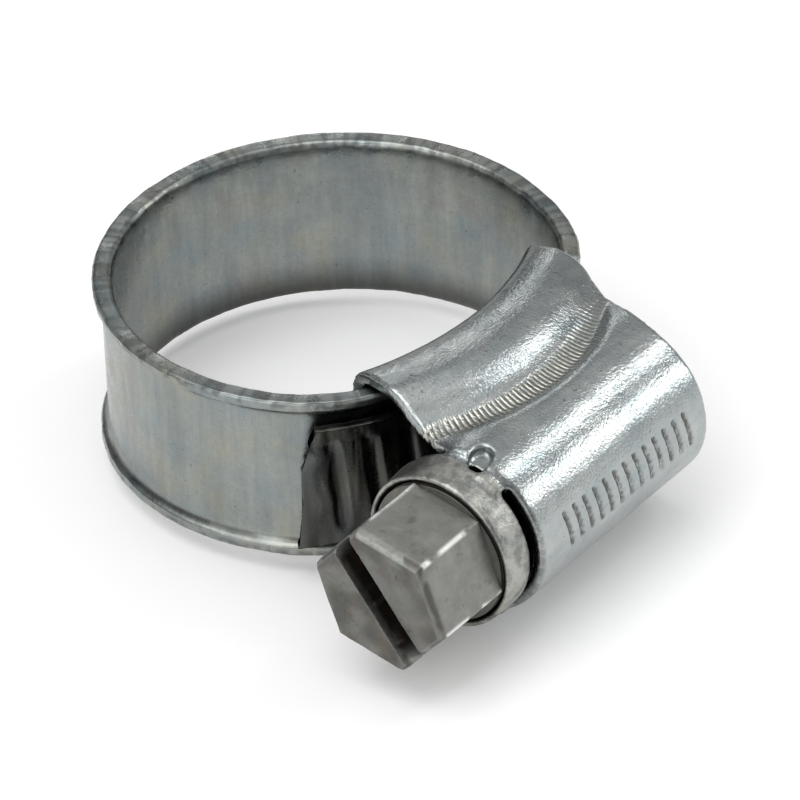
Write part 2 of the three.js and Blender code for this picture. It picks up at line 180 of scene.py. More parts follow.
def make_camera():
    turn = Matrix.Rotation(-HOUSING_TURN, 4, "Z")
    forward = Vector((
        math.sin(VIEW_YAW) * math.cos(VIEW_PITCH),
        math.cos(VIEW_YAW) * math.cos(VIEW_PITCH),
        -math.sin(VIEW_PITCH),
    ))
    right = forward.cross(Vector((0, 0, 1))).normalized()
    up = right.cross(forward)
    level_right = right * math.cos(VIEW_ROLL) + up * math.sin(VIEW_ROLL)
    level_up = up * math.cos(VIEW_ROLL) - right * math.sin(VIEW_ROLL)
    axes = Matrix((level_right, level_up, -forward)).transposed().to_4x4()
    place = Matrix.Translation(Vector((0, -VIEW_BACK, VIEW_HEIGHT)) * MM)
    data = bpy.data.cameras.new("camera")
    data.lens = LENS
    data.sensor_width = SENSOR_WIDTH
    data.clip_start = 0.01
    data.clip_end = 20.0
    camera = bpy.data.objects.new("camera", data)
    camera.matrix_world = turn @ place @ axes
    bpy.context.scene.collection.objects.link(camera)
    bpy.context.scene.camera = camera


def make_softbox(name, azimuth, elevation, distance, size, watts):
    """A rectangular soft light, in millimetres, which faces the clamp from a direction in degrees."""
    data = bpy.data.lights.new(name, "AREA")
    data.shape = "RECTANGLE"
    data.size = size[0] * MM
    data.size_y = size[1] * MM
    data.energy = watts
    light = bpy.data.objects.new(name, data)
    a, e = math.radians(azimuth), math.radians(elevation)
    away = Vector((math.cos(a) * math.cos(e), math.sin(a) * math.cos(e), math.sin(e)))
    target = LIGHT_AIM * MM
    light.location = target + away * distance * MM
    light.rotation_euler = (-away).to_track_quat("-Z", "Y").to_euler()
    bpy.context.scene.collection.objects.link(light)


def glow(tree, direction, azimuth, elevation, radius, level):
    """A soft patch of sky, brighter or darker by level. Its radius is in degrees."""
    a, e = math.radians(azimuth), math.radians(elevation)
    towards = (math.cos(a) * math.cos(e), math.sin(a) * math.cos(e), math.sin(e))
    dot = tree.nodes.new("ShaderNodeVectorMath")
    dot.operation = "DOT_PRODUCT"
    dot.inputs[1].default_value = towards
    tree.links.new(direction, dot.inputs[0])
    fade = tree.nodes.new("ShaderNodeMapRange")
    fade.interpolation_type = "SMOOTHSTEP"
    fade.inputs["From Min"].default_value = math.cos(math.radians(radius))
    fade.inputs["From Max"].default_value = math.cos(math.radians(radius * 0.45))
    fade.inputs["To Max"].default_value = level
    tree.links.new(dot.outputs["Value"], fade.inputs["Value"])
    return fade.outputs["Result"]


def make_world():
    world = bpy.data.worlds.new("studio")
    bpy.context.scene.world = world
    world.use_nodes = True
    tree = world.node_tree
    direction = tree.nodes.new("ShaderNodeTexCoord").outputs["Generated"]
    split = tree.nodes.new("ShaderNodeSeparateXYZ")
    tree.links.new(direction, split.inputs[0])
    ramp = tree.nodes.new("ShaderNodeValToRGB")
    tree.links.new(split.outputs["Z"], ramp.inputs["Fac"])
    for element, (height, level) in zip(ramp.color_ramp.elements, SKY_ENDS):
        element.position = height
        element.color = (level, level, level, 1)
    for height, level in SKY_BETWEEN:
        element = ramp.color_ramp.elements.new(height)
        element.color = (level, level, level * SKY_BLUENESS, 1)
    total = ramp.outputs["Color"]
    for patch in SKY_PATCHES:
        add = tree.nodes.new("ShaderNodeMath")
        add.operation = "ADD"
        tree.links.new(total, add.inputs[0])
        tree.links.new(glow(tree, direction, *patch), add.inputs[1])
        total = add.outputs[0]
    least = tree.nodes.new("ShaderNodeMath")
    least.operation = "MAXIMUM"
    least.inputs[1].default_value = SKY_LEAST
    tree.links.new(total, least.inputs[0])
    tree.links.new(least.outputs[0], tree.nodes["Background"].inputs["Color"])


def make_lights():
    for softbox in SOFTBOXES:
        make_softbox(*softbox)
    make_world()


def make_floor(lowest):
    reach = FLOOR_REACH * MM
    mesh = bpy.data.meshes.new("floor")
    corners = [(x * reach, y * reach, lowest) for x, y in ((-1, -1), (1, -1), (1, 1), (-1, 1))]
    mesh.from_pydata(corners, [], [(0, 1, 2, 3)])
    floor = bpy.data.objects.new("floor", mesh)
    bpy.context.scene.collection.objects.link(floor)
    material = bpy.data.materials.new("pale_floor")
    material.use_nodes = True
    shader = material.node_tree.nodes["Principled BSDF"]
    shader.inputs["Base Color"].default_value = (0.93, 0.93, 0.93, 1)
    shader.inputs["Roughness"].default_value = 0.9
    shader.inputs["Specular IOR Level"].default_value = 0.1
    shader.inputs["Emission Color"].default_value = (1, 1, 1, 1)
    shader.inputs["Emission Strength"].default_value = 0.1
    mesh.materials.append(material)


# ---- materials ----------------------------------------------------------------------------------

class NodeBook:
    """A material's node tree, with short calls for the nodes that the metals use."""

    def __init__(self, name):
        self.material = bpy.data.materials.new(name)
        self.material.use_nodes = True
        self.tree = self.material.node_tree
        self.shader = self.tree.nodes["Principled BSDF"]
        self.shader.inputs["Metallic"].default_value = 1.0
        self.object_place = self.tree.nodes.new("ShaderNodeTexCoord").outputs["Object"]

    def link(self, source, target):
        self.tree.links.new(source, target)

    def place(self, scale=(1, 1, 1), turn=(0, 0, 0)):
        """The point on the object in millimetres, stretched by scale."""
        node = self.tree.nodes.new("ShaderNodeMapping")
        node.inputs["Scale"].default_value = [value / MM for value in scale]
        node.inputs["Rotation"].default_value = turn
        self.link(self.object_place, node.inputs["Vector"])
        return node.outputs["Vector"]

    def noise(self, scale, detail, roughness, at=None):
        node = self.tree.nodes.new("ShaderNodeTexNoise")
        node.inputs["Scale"].default_value = scale
        node.inputs["Detail"].default_value = detail
        node.inputs["Roughness"].default_value = roughness
        self.link(at or self.place(), node.inputs["Vector"])
        return node.outputs["Fac"]

    def cells(self, scale):
        node = self.tree.nodes.new("ShaderNodeTexVoronoi")
        node.inputs["Scale"].default_value = scale
        self.link(self.place(), node.inputs["Vector"])
        return node.outputs["Distance"]

    def ramp(self, value, low, high, out_low=0.0, out_high=1.0):
        """Stretches low..high to out_low..out_high, and holds the end values outside it."""
        node = self.tree.nodes.new("ShaderNodeMapRange")
        node.inputs["From Min"].default_value = low
        node.inputs["From Max"].default_value = high
        node.inputs["To Min"].default_value = out_low
        node.inputs["To Max"].default_value = out_high
        self.link(value, node.inputs["Value"])
        return node.outputs["Result"]

    def math(self, operation, a, b):
        """An operation on two values, each a number or a socket."""
        node = self.tree.nodes.new("ShaderNodeMath")
        node.operation = operation
        for socket, value in zip(node.inputs, (a, b)):
            if isinstance(value, (int, float)):
                socket.default_value = value
            else:
                self.link(value, socket)
        return node.outputs[0]

    def times(self, a, b):
        return self.math("MULTIPLY", a, b)

    def blend(self, share, a, b):
        """Mixes two colours, each a tuple or a socket, by a socket's share of b."""
        node = self.tree.nodes.new("ShaderNodeMix")
        node.data_type = "RGBA"
        self.link(share, node.inputs["Factor"])
        for name, value in (("A", a), ("B", b)):
            socket = [s for s in node.inputs if s.name == name and s.type == "RGBA"][0]
            if isinstance(value, tuple):
                socket.default_value = (*value, 1)
            else:
                self.link(value, socket)
        return [s for s in node.outputs if s.type == "RGBA"][0]

    def bump(self, height, distance, strength=1.0, below=None):
        node = self.tree.nodes.new("ShaderNodeBump")
        node.inputs["Distance"].default_value = distance * MM
        node.inputs["Strength"].default_value = strength
        self.link(height, node.inputs["Height"])
        if below is not None:
            self.link(below, node.inputs["Normal"])
        return node.outputs["Normal"]

    def attribute(self, name):
        node = self.tree.nodes.new("ShaderNodeAttribute")
        node.attribute_name = name
        return node.outputs["Fac"]

    def finish(self, colour, roughness, normal):
        self.link(colour, self.shader.inputs["Base Color"])
        self.link(roughness, self.shader.inputs["Roughness"])
        self.link(normal, self.shader.inputs["Normal"])
        return self.material


def crevice(book, reach):
    """1 in tight corners and 0 in the open, from ambient occlusion within reach millimetres; it places
    painted shade.
    """
    node = book.tree.nodes.new("ShaderNodeAmbientOcclusion")
    node.samples = 6
    node.inputs["Distance"].default_value = reach * MM
    return book.ramp(node.outputs["AO"], 0.75, 0.25)


def housing_tone(book):
    """Bright zinc with bluish streaks and dark specks, duller where it is handled."""
    dark, light, bluish = (0.34, 0.37, 0.375), (0.44, 0.46, 0.45), (0.27, 0.34, 0.36)
    speck, smear, rubbed = (0.12, 0.13, 0.13), (0.13, 0.125, 0.11), (0.42, 0.41, 0.36)
    clouds = book.noise(0.45, 4, 0.6)
    streaks = book.noise(1.0, 3, 0.6, at=book.place((0.25, 2.2, 2.2)))
    tone = book.blend(book.ramp(clouds, 0.35, 0.65), dark, light)
    tone = book.blend(book.ramp(streaks, 0.45, 0.7, 0, 0.4), tone, bluish)
    specks = book.ramp(book.noise(5.0, 2, 0.5), 0.64, 0.72)
    tone = book.blend(book.times(specks, 0.45), tone, speck)
    smears = book.ramp(book.noise(1.1, 5, 0.75), 0.42, 0.6)
    worn = book.blend(smears, rubbed, smear)
    return book.blend(book.times(book.attribute("handled"), 0.85), tone, worn)


def housing_material():
    book = NodeBook("pressed_zinc")
    bright_mark, mark_gap = (0.62, 0.60, 0.50), (0.07, 0.07, 0.06)
    dirt_and_shade_colour, painted_corner_shade = (0.07, 0.065, 0.055), (0.05, 0.045, 0.04)
    tone = housing_tone(book)
    phase = book.times(book.attribute("mark_phase"), 2 * math.pi / MARK_SPACING)
    wave = book.ramp(book.math("SINE", phase, 0.0), -1, 1)
    uneven = book.ramp(book.noise(3.0, 2, 0.6), 0.3, 0.65, 0.25, 1.0)
    marks = book.times(book.attribute("tool_marks"), uneven)
    tone = book.blend(book.times(marks, 0.55), tone, bright_mark)
    gaps = book.times(marks, book.ramp(wave, 0.45, 0.15))
    tone = book.blend(book.times(gaps, 0.8), tone, mark_gap)
    # Dirt in the pressed dashes, and painted shade in the gap behind the loop.
    row = book.times(book.attribute("dash_dirt_gap_shade"), book.ramp(book.noise(2.4, 3, 0.7), 0.3, 0.55))
    tone = book.blend(book.times(row, 0.85), tone, dirt_and_shade_colour)
    # Painted shade: darkens tight corners, from ambient occlusion.
    tone = book.blend(book.times(crevice(book, 0.9), 0.8), tone, painted_corner_shade)
    roughness = book.ramp(book.noise(1.4, 4, 0.65), 0.3, 0.7, 0.17, 0.27)
    roughness = book.math("ADD", roughness, book.times(book.attribute("handled"), 0.22))
    normal = book.bump(book.noise(0.9, 2, 0.5, at=book.place((0.5, 1.5, 1.5))), 0.12, 0.2)
    normal = book.bump(book.noise(7.5, 2, 0.75), 0.022, 0.6, normal)
    normal = book.bump(book.cells(6.0), 0.016, 0.5, normal)
    normal = book.bump(book.times(wave, marks), 0.06, 0.8, normal)
    return book.finish(tone, roughness, normal)


def band_tone(book):
    """Greyer zinc in soft clouds of blue, straw and pink, with painted reflection in streaks up and down.
    """
    dark, light = (0.25, 0.28, 0.28), (0.33, 0.345, 0.32)
    blue, straw, pink = (0.22, 0.285, 0.32), (0.35, 0.335, 0.25), (0.30, 0.255, 0.27)
    mottled, painted_bright_reflection, painted_dark_reflection = (0.19, 0.205, 0.205), (0.40, 0.41, 0.37), (0.16, 0.17, 0.16)
    speck = (0.10, 0.10, 0.10)
    blotch = book.noise(0.28, 3, 0.55)
    other = book.noise(0.33, 3, 0.55, at=book.place((1, 1, 1), (1.0, 0.4, 0.2)))
    tone = book.blend(book.ramp(blotch, 0.36, 0.64), dark, light)
    tone = book.blend(book.ramp(other, 0.52, 0.68, 0, 0.55), tone, blue)
    tone = book.blend(book.ramp(other, 0.46, 0.34, 0, 0.45), tone, straw)
    tone = book.blend(book.ramp(blotch, 0.58, 0.7, 0, 0.3), tone, pink)
    mottle = book.ramp(book.noise(3.2, 4, 0.7), 0.35, 0.65, 0.0, 0.3)
    tone = book.blend(mottle, tone, mottled)
    # Painted reflection: bright and dark streaks up and down the band.
    streaks = book.noise(1.1, 4, 0.65, at=book.place((1, 1, 0.12)))
    tone = book.blend(book.ramp(streaks, 0.5, 0.7, 0, 0.42), tone, painted_bright_reflection)
    tone = book.blend(book.ramp(streaks, 0.48, 0.30, 0, 0.3), tone, painted_dark_reflection)
    specks = book.ramp(book.noise(4.2, 2, 0.5), 0.69, 0.76, 0, 0.6)
    return book.blend(specks, tone, speck)


def band_material():
    book = NodeBook("band_zinc")
    dirt, painted_corner_shade = (0.035, 0.033, 0.03), (0.03, 0.03, 0.03)
    tone = band_tone(book)
    # Dirt, and darkening along the lips' crease and towards the bottom of the inside.
    tone = book.blend(book.attribute("grime"), tone, dirt)
    # Painted shade: darkens tight corners, from ambient occlusion.
    tone = book.blend(book.times(crevice(book, 0.8), 0.85), tone, painted_corner_shade)
    roughness = book.ramp(book.noise(1.1, 4, 0.6), 0.3, 0.7, 0.22, 0.36)
    normal = book.bump(book.noise(0.8, 2, 0.5), 0.1, 0.3)
    normal = book.bump(book.noise(6.0, 3, 0.6), 0.02, 0.4, normal)
    return book.finish(tone, roughness, normal)


def screw_material():
    book = NodeBook("screw_steel")
    dark, light, scratch = (0.215, 0.22, 0.205), (0.29, 0.295, 0.275), (0.32, 0.32, 0.30)
    dent, worn_edge = (0.09, 0.09, 0.08), (0.85, 0.85, 0.82)
    soot, rust = (0.035, 0.03, 0.026), (0.075, 0.038, 0.022)
    tone = book.blend(book.ramp(book.noise(0.9, 4, 0.65), 0.3, 0.7), dark, light)
    scratches = book.noise(1.0, 4, 0.7, at=book.place((0.5, 9.0, 9.0), (0.35, 0, 0)))
    tone = book.blend(book.ramp(scratches, 0.56, 0.66, 0, 0.3), tone, scratch)
    dents = book.ramp(book.noise(1.3, 4, 0.7), 0.60, 0.72, 0, 0.5)
    tone = book.blend(dents, tone, dent)
    tone = book.blend(book.attribute("wear"), tone, worn_edge)
    dirt = book.blend(book.ramp(book.noise(1.6, 3, 0.6), 0.5, 0.62), soot, rust)
    tone = book.blend(book.attribute("grime"), tone, dirt)
    roughness = book.ramp(book.noise(2.0, 4, 0.6), 0.3, 0.7, 0.4, 0.58)
    normal = book.bump(scratches, 0.03, 0.3)
    normal = book.bump(book.noise(5.0, 3, 0.6), 0.03, 0.4, normal)
    return book.finish(tone, roughness, normal)


# ---- mesh helpers -------------------------------------------------------------------------------

def new_object(name, vertices, faces):
    mesh = bpy.data.meshes.new(name)
    mesh.from_pydata([tuple(v) for v in vertices], [], faces)
    mesh.validate()
    thing = bpy.data.objects.new(name, mesh)
    bpy.context.scene.collection.objects.link(thing)
    return thing


def face_outwards(thing):
    shell = bmesh.new()
    shell.from_mesh(thing.data)
    bmesh.ops.recalc_face_normals(shell, faces=shell.faces)
    if shell.calc_volume(signed=True) < 0:
        bmesh.ops.reverse_faces(shell, faces=shell.faces)
    shell.to_mesh(thing.data)
    shell.free()


def ring_faces(ring_count, per_ring, wrap=False):
    """The quads between rings of points, each ring closed on itself."""
    faces = []
    for i in range(ring_count if wrap else ring_count - 1):
        this, following = i * per_ring, (i + 1) % ring_count * per_ring
        for j in range(per_ring):
            k = (j + 1) % per_ring
            faces.append((this + j, this + k, following + k, following + j))
    return faces


def start_cap(per_ring):
    return tuple(range(per_ring - 1, -1, -1))


def end_cap(ring_count, per_ring):
    return tuple(range((ring_count - 1) * per_ring, ring_count * per_ring))


def skin(name, rings, wrap=False):
    """A closed body from rings of points; the ends are capped, or joined if the rings wrap round."""
    per_ring = len(rings[0])
    vertices = [point for ring in rings for point in ring]
    faces = ring_faces(len(rings), per_ring, wrap)
    if not wrap:
        faces += [start_cap(per_ring), end_cap(len(rings), per_ring)]
    thing = new_object(name, vertices, faces)
    face_outwards(thing)
    return thing


def join(things):
    """Joins separate bodies into the first one's mesh, without any boolean."""
    whole = bmesh.new()
    for thing in things:
        whole.from_mesh(thing.data)
    whole.to_mesh(things[0].data)
    whole.free()
    for thing in things[1:]:
        bpy.data.objects.remove(thing)
    return things[0]


def apply_modifiers(thing):
    bpy.context.view_layer.update()
    evaluated = thing.evaluated_get(bpy.context.evaluated_depsgraph_get())
    mesh = bpy.data.meshes.new_from_object(evaluated)
    thing.modifiers.clear()
    old = thing.data
    thing.data = mesh
    bpy.data.meshes.remove(old)


def cut(thing, cutter):
    """Takes the cutter's body out of the thing, and removes the cutter."""
    modifier = thing.modifiers.new("cut", "BOOLEAN")
    modifier.operation = "DIFFERENCE"
    modifier.solver = "EXACT"
    modifier.object = cutter
    apply_modifiers(thing)
    bpy.data.objects.remove(cutter)


def remesh(thing, voxel, smoothing):
    """Melts joined bodies into one even skin, with edges as soft as the rounds of smoothing."""
    modifier = thing.modifiers.new("remesh", "REMESH")
    modifier.mode = "VOXEL"
    modifier.voxel_size = voxel
    modifier.use_smooth_shade = True
    soften = thing.modifiers.new("soften", "SMOOTH")
    soften.factor = 0.5
    soften.iterations = smoothing
    apply_modifiers(thing)


def store(mesh, name, values):
    """Keeps one value for each vertex, which a material reads by name."""
    attribute = mesh.attributes.new(name, "FLOAT", "POINT")
    attribute.data.foreach_set("value", values)


def shade_smooth(thing):
    for polygon in thing.data.polygons:
        polygon.use_smooth = True


def box(name, t, r, z):
    """A box in t (along the screw), r (out from the hose) and z (up), from pairs of limits."""
    corners = [
        [(t[a], -r[b], z[c]) for b, c in ((0, 0), (1, 0), (1, 1), (0, 1))]
        for a in (0, 1)
    ]
    return skin(name, corners)


def round_screw(t, radius, degrees):
    """A point at an angle round the screw axis: 0 faces away from the hose and 90 faces up."""
    a = math.radians(degrees)
    return Vector((t, -(AXIS_R + radius * math.cos(a)), radius * math.sin(a)))


def sector(name, span, radii, angles, steps):
    """Part of a ring round the screw axis."""
    rings = []
    for i in range(steps + 1):
        angle = mix(angles[0], angles[1], i / steps)
        rings.append([
            round_screw(span[0], radii[0], angle),
            round_screw(span[1], radii[0], angle),
            round_screw(span[1], radii[1], angle),
            round_screw(span[0], radii[1], angle),
        ])
    return skin(name, rings)


def turned(name, profile, sides=96):
    """A closed body turned on the screw axis. The profile is [t, radius] pairs between its two ends."""
    rings = [
        [round_screw(t, radius, 360 * j / sides) for j in range(sides)]
        for t, radius in profile
    ]
    return skin(name, rings)


def finish_piece(thing, material, nodes):
    """Scales a finished mesh to metres, gives it its finish and lets it stand for its CAD nodes."""
    thing.data.transform(Matrix.Scale(MM, 4))
    thing.data.materials.clear()
    thing.data.materials.append(material)
    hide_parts(*nodes)


# ---- the band -----------------------------------------------------------------------------------

def station(t, r, out_t, out_r):
    """A place on the middle of the strip and the direction out of its outer face."""
    return Vector((t, -r, 0)), Vector((out_t, -out_r, 0)).normalized()


def anchor_station(t):
    return station(t, ANCHOR_R - t * t / (2 * ANCHOR_BEND), t / ANCHOR_BEND, 1)


def tail_station(angle):
    s, c = math.sin(math.radians(angle)), math.cos(math.radians(angle))
    return station(TAIL_RADIUS * s, TAIL_CENTRE_R + TAIL_RADIUS * c, s, c)


ANCHOR_END = anchor_station(ANCHOR_SPAN[1])[0]
ANCHOR_END_ANGLE = math.degrees(math.atan2(-ANCHOR_END.x, -ANCHOR_END.y))
ANCHOR_DROP = RING_RADIUS - ANCHOR_END.length
ANCHOR_LEAN = math.radians(ANCHOR_END_ANGLE) - math.atan(-ANCHOR_SPAN[1] / ANCHOR_BEND)
ANCHOR_SLOPE = math.tan(ANCHOR_LEAN) * (RING_RADIUS - ANCHOR_DROP) * math.radians(1)
ANCHOR_BLEND_ANGLE = 2 * ANCHOR_DROP / ANCHOR_SLOPE
TAIL_START_R = TAIL_CENTRE_R + math.sqrt(TAIL_RADIUS ** 2 - TAIL_STRAIGHTEST_T ** 2)
TAIL_START_ANGLE = math.degrees(math.atan2(TAIL_STRAIGHTEST_T, TAIL_START_R))
TAIL_ARC_START = math.degrees(math.asin(TAIL_STRAIGHTEST_T / TAIL_RADIUS))
TAIL_RISE = math.hypot(TAIL_STRAIGHTEST_T, TAIL_START_R) - RING_RADIUS
TAIL_LEAN = math.radians(TAIL_START_ANGLE - TAIL_ARC_START)
TAIL_SLOPE = math.tan(TAIL_LEAN) * (RING_RADIUS + TAIL_RISE) * math.radians(TAIL_BLEND_ANGLE)


def ring_radius(angle):
    """The round part's radius, which drops to the anchored end and rises to the tail."""
    from_anchor = min(max((angle - ANCHOR_END_ANGLE) / ANCHOR_BLEND_ANGLE, 0), 1)
    from_tail = min(max((360 - TAIL_START_ANGLE - angle) / TAIL_BLEND_ANGLE, 0), 1)
    drop = ANCHOR_DROP * (1 - from_anchor) ** 2
    rise = (1 - from_tail) ** 2 * (TAIL_RISE + (TAIL_SLOPE + 2 * TAIL_RISE) * from_tail)
    return RING_RADIUS - drop + rise


def ring_point(angle):
    a, radius = math.radians(angle), ring_radius(angle)
    return Vector((-radius * math.sin(a), -radius * math.cos(a), 0))


def ring_station(angle):
    along = ring_point(angle + 0.05) - ring_point(angle - 0.05)
    out = Vector((along.y, -along.x, 0)).normalized()
    place = ring_point(angle)
    return place, out if out.dot(place) > 0 else -out


# Half of the strip's outline from the middle of the outer face, over the lip, to the middle of the
# inner face: height, then distance out from the middle of the sheet.
LIP_OUTLINE = (
    (0.0, 0.35), (1.2, 0.35), (2.4, 0.35), (3.2, 0.35), (3.55, 0.355), (3.78, 0.385), (3.96, 0.45),
    (4.08, 0.55), (4.15, 0.66), (4.19, 0.72), (4.25, 0.76), (4.34, 0.775), (4.5, 0.78), (4.6, 0.775),
    (4.645, 0.75), (4.665, 0.71), (4.69, 0.705), (4.73, 0.69), (4.745, 0.64), (4.75, 0.5), (4.75, 0.3),
    (4.75, 0.1), (4.745, -0.03), (4.72, -0.11), (4.66, -0.18), (4.55, -0.25), (4.35, -0.31),
    (4.05, -0.34), (3.7, -0.35), (3.2, -0.35), (2.4, -0.35), (1.2, -0.35), (0.0, -0.35),
)
EDGE_ROUND = 0.09
LIP_TOP = 4.6              # the outline's points above this height become the tail's own edge
RING_STEP = 0.5            # degrees between rings, so that every hinge's limits fall on a ring
ANCHOR_RINGS = 40
TAIL_RINGS = 300
TAIL_ANGLES = 40           # the tail's rings count this many degrees on past the round part
NARROWING_ANGLE = 7
GROOVE_DEPTH = 0.24


def strip_outline(narrowing):
    """The whole outline, morphed from the lipped full width to the plain trimmed tail."""
    half = []
    for height, out in LIP_OUTLINE:
        plain_height = min(height * TAIL_HALF_WIDTH / LIP_TOP, TAIL_HALF_WIDTH)
        plain_out = min(max(out, -SHEET / 2), SHEET / 2)
        inset = min(1, abs(plain_out) / (SHEET / 2)) ** 6 * EDGE_ROUND
        if height > LIP_TOP:
            plain_height = TAIL_HALF_WIDTH - inset
        half.append((mix(height, plain_height, narrowing), mix(out, plain_out, narrowing)))
    lower = [(-height, out) for height, out in half[1:-1]]
    return half + lower[::-1]


def wobble(point, scale, size):
    return noise.fractal(point * scale, 1.0, 2.0, 3) * size


def lip_share(height):
    return smoothstep((abs(height) - 3.6) / 0.9)


def band_ring(place, out, narrowing):
    """One ring of points round the strip, slightly uneven along its lips."""
    ring = []
    for height, offset in strip_outline(narrowing):
        point = place + out * offset + Vector((0, 0, height))
        uneven = lip_share(height) * (1 - narrowing)
        sideways = wobble(point, 0.9, 0.035) + wobble(point + Vector((9, 3, 5)), 4.0, 0.012)
        upwards = wobble(point, 0.7, 0.03)
        ring.append(point + out * sideways * uneven + Vector((0, 0, upwards * uneven)))
    return ring


def groove_depth(angle, height):
    """How far the worm has pressed the tail's outer face in, at an angle along its arc."""
    slope = PITCH / (2 * math.pi * WORM_RADIUS)
    along = math.radians(angle) * TAIL_RADIUS + slope * height
    start = -math.radians(TAIL_END_ANGLE) * TAIL_RADIUS + PITCH * 0.75
    phase = (along - start) / PITCH
    off = abs(phase - round(phase)) * PITCH
    profile = 1 - smoothstep((off - 0.12) / 0.42)
    fade = 1 - smoothstep((abs(height) - 2.1) / 0.8)
    return GROOVE_DEPTH * profile * fade


def tail_end_shift(height):
    """The sheared free end isn't straight: how far each height runs on, in degrees of arc."""
    waves = 1.1 * math.sin(height * 1.5 + 0.6) + 0.9 * math.sin(height * 3.1)
    return waves - 0.5 * height / TAIL_HALF_WIDTH


def tail_ring(angle, share_at_end):
    """One ring of points round the threaded tail, whose free end is ragged and slightly curled."""
    ring = []
    for height, offset in strip_outline(1):
        here = angle - tail_end_shift(height) * share_at_end
        place, out = tail_station(here)
        depth = groove_depth(here, height) * (1 if offset > 0.2 else 0.25)
        curl = 0.18 * share_at_end * smoothstep(height / -2.5)
        uneven = wobble(Vector((here, height, 0)), 0.5, 0.05)
        ring.append(place + out * (offset - depth + curl + uneven) + Vector((0, 0, height)))
    return ring


def band_path():
    """Every ring of the band from its anchored end to its free end, with its angle round the ring."""
    rings = []
    for i in range(ANCHOR_RINGS):
        place, out = anchor_station(mix(ANCHOR_SPAN[0], ANCHOR_SPAN[1], i / ANCHOR_RINGS))
        rings.append((i - ANCHOR_RINGS + ANCHOR_END_ANGLE, band_ring(place, out, 0)))
    last = 360 - TAIL_START_ANGLE
    angle = float(math.ceil(ANCHOR_END_ANGLE))
    while angle < last:
        place, out = ring_station(angle)
        narrowing = smoothstep((angle - last + NARROWING_ANGLE) / NARROWING_ANGLE)
        rings.append((angle, band_ring(place, out, narrowing)))
        angle += RING_STEP
    for i in range(TAIL_RINGS + 1):
        share = i / TAIL_RINGS
        arc = mix(TAIL_ARC_START, -TAIL_END_ANGLE, share)
        at_end = smoothstep((share - 0.9) / 0.1)
        rings.append((last + share * TAIL_ANGLES, tail_ring(arc, at_end)))
    return rings


def ring_normals(points, per_ring):
    """Area-weighted normals of the band's long skin, so that its pieces meet without a seam."""
    normals = [Vector() for _ in points]
    for corners in ring_faces(len(points) // per_ring, per_ring):
        a, b, c, d = (points[n] for n in corners)
        facing = (c - a).cross(d - b)
        for n in corners:
            normals[n] += facing
    return [n.normalized() for n in normals]


def band_darkening(angle, point):
    """How dark the strip is made: dirty along its lips and most of all on the threaded tail, darker along
    the crease where each lip bends out, and darker towards the bottom of its inside.
    """
    tail = smoothstep((angle - 352) / 8)
    streak = 0.5 + 0.5 * noise.noise(Vector((point.x * 1.4, point.y * 1.4, point.z * 0.25)))
    height = abs(point.z)
    broken = smoothstep((noise.noise(Vector((angle * 0.55, height * 3.0, point.z))) + 0.1) / 0.35)
    edge = smoothstep((height - 4.3) / 0.2) * 0.4 * broken
    outside = smoothstep((math.hypot(point.x, point.y) - ring_radius(angle)) / 0.2)
    rarer = smoothstep((noise.noise(Vector((angle * 0.08, point.z, 3.0))) + 0.35) / 0.4)
    # Darker along the crease where the lip bends out.
    crease = outside * math.exp(-((height - 4.0) / 0.13) ** 2) * 0.8 * rarer
    # Darker towards the bottom of the inside face.
    low = (1 - outside) * smoothstep((-point.z - 2.2) / 2.2) * 0.75
    return min(1.0, tail * (0.5 + 0.6 * streak) + max(edge, crease, low) * (1 - tail))


def band_piece(number, points, normals, grime, per_ring):
    """One stretch of the band's skin; only the band's own two ends are capped."""
    ring_count = len(points) // per_ring
    faces = ring_faces(ring_count, per_ring)
    if number == 0:
        faces.append(start_cap(per_ring))
    if number == HINGES - 1:
        faces.append(end_cap(ring_count, per_ring))
    piece = new_object(f"band_{number + 1}", points, faces)
    if piece.data.polygons[0].normal.dot(normals[0]) < 0:
        piece.data.flip_normals()
    shade_smooth(piece)
    piece.data.normals_split_custom_set_from_vertices(normals)
    store(piece.data, "grime", grime)
    return piece


def make_band(material):
    """Nine pieces, each centred on a hinge and covering part of each of the two bodies that the hinge
    joins.
    """
    rings = band_path()
    per_ring = len(rings[0][1])
    points = [point for _, ring in rings for point in ring]
    normals = ring_normals(points, per_ring)
    # Dirt, and darkening along the lips' crease and towards the bottom of the inside.
    grime = [band_darkening(angle, point) for angle, ring in rings for point in ring]
    links = range(1, HINGES)
    nodes = ["band_anchored_end", *(f"band_link_{n}" for n in links), "band_threaded_tail"]
    for number in range(HINGES):
        hinge = FIRST_HINGE + LINK_ANGLE * number
        low, high = hinge - LINK_ANGLE / 2, hinge + LINK_ANGLE / 2
        chosen = [
            i for i, (angle, _) in enumerate(rings)
            if (number == 0 or angle >= low - 0.01) and (number == HINGES - 1 or angle <= high + 0.01)
        ]
        part = slice(chosen[0] * per_ring, (chosen[-1] + 1) * per_ring)
        piece = band_piece(number, points[part], normals[part], grime[part], per_ring)
        replaced = nodes[-2:] if number == HINGES - 1 else [nodes[number]]
        finish_piece(piece, material, replaced)
        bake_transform(piece)


# ---- the housing --------------------------------------------------------------------------------

def arched(line, t):
    """How far out one of the saddle's lines lies, at a place along the screw."""
    return line[1] - (t - line[0]) ** 2 / (2 * line[2])


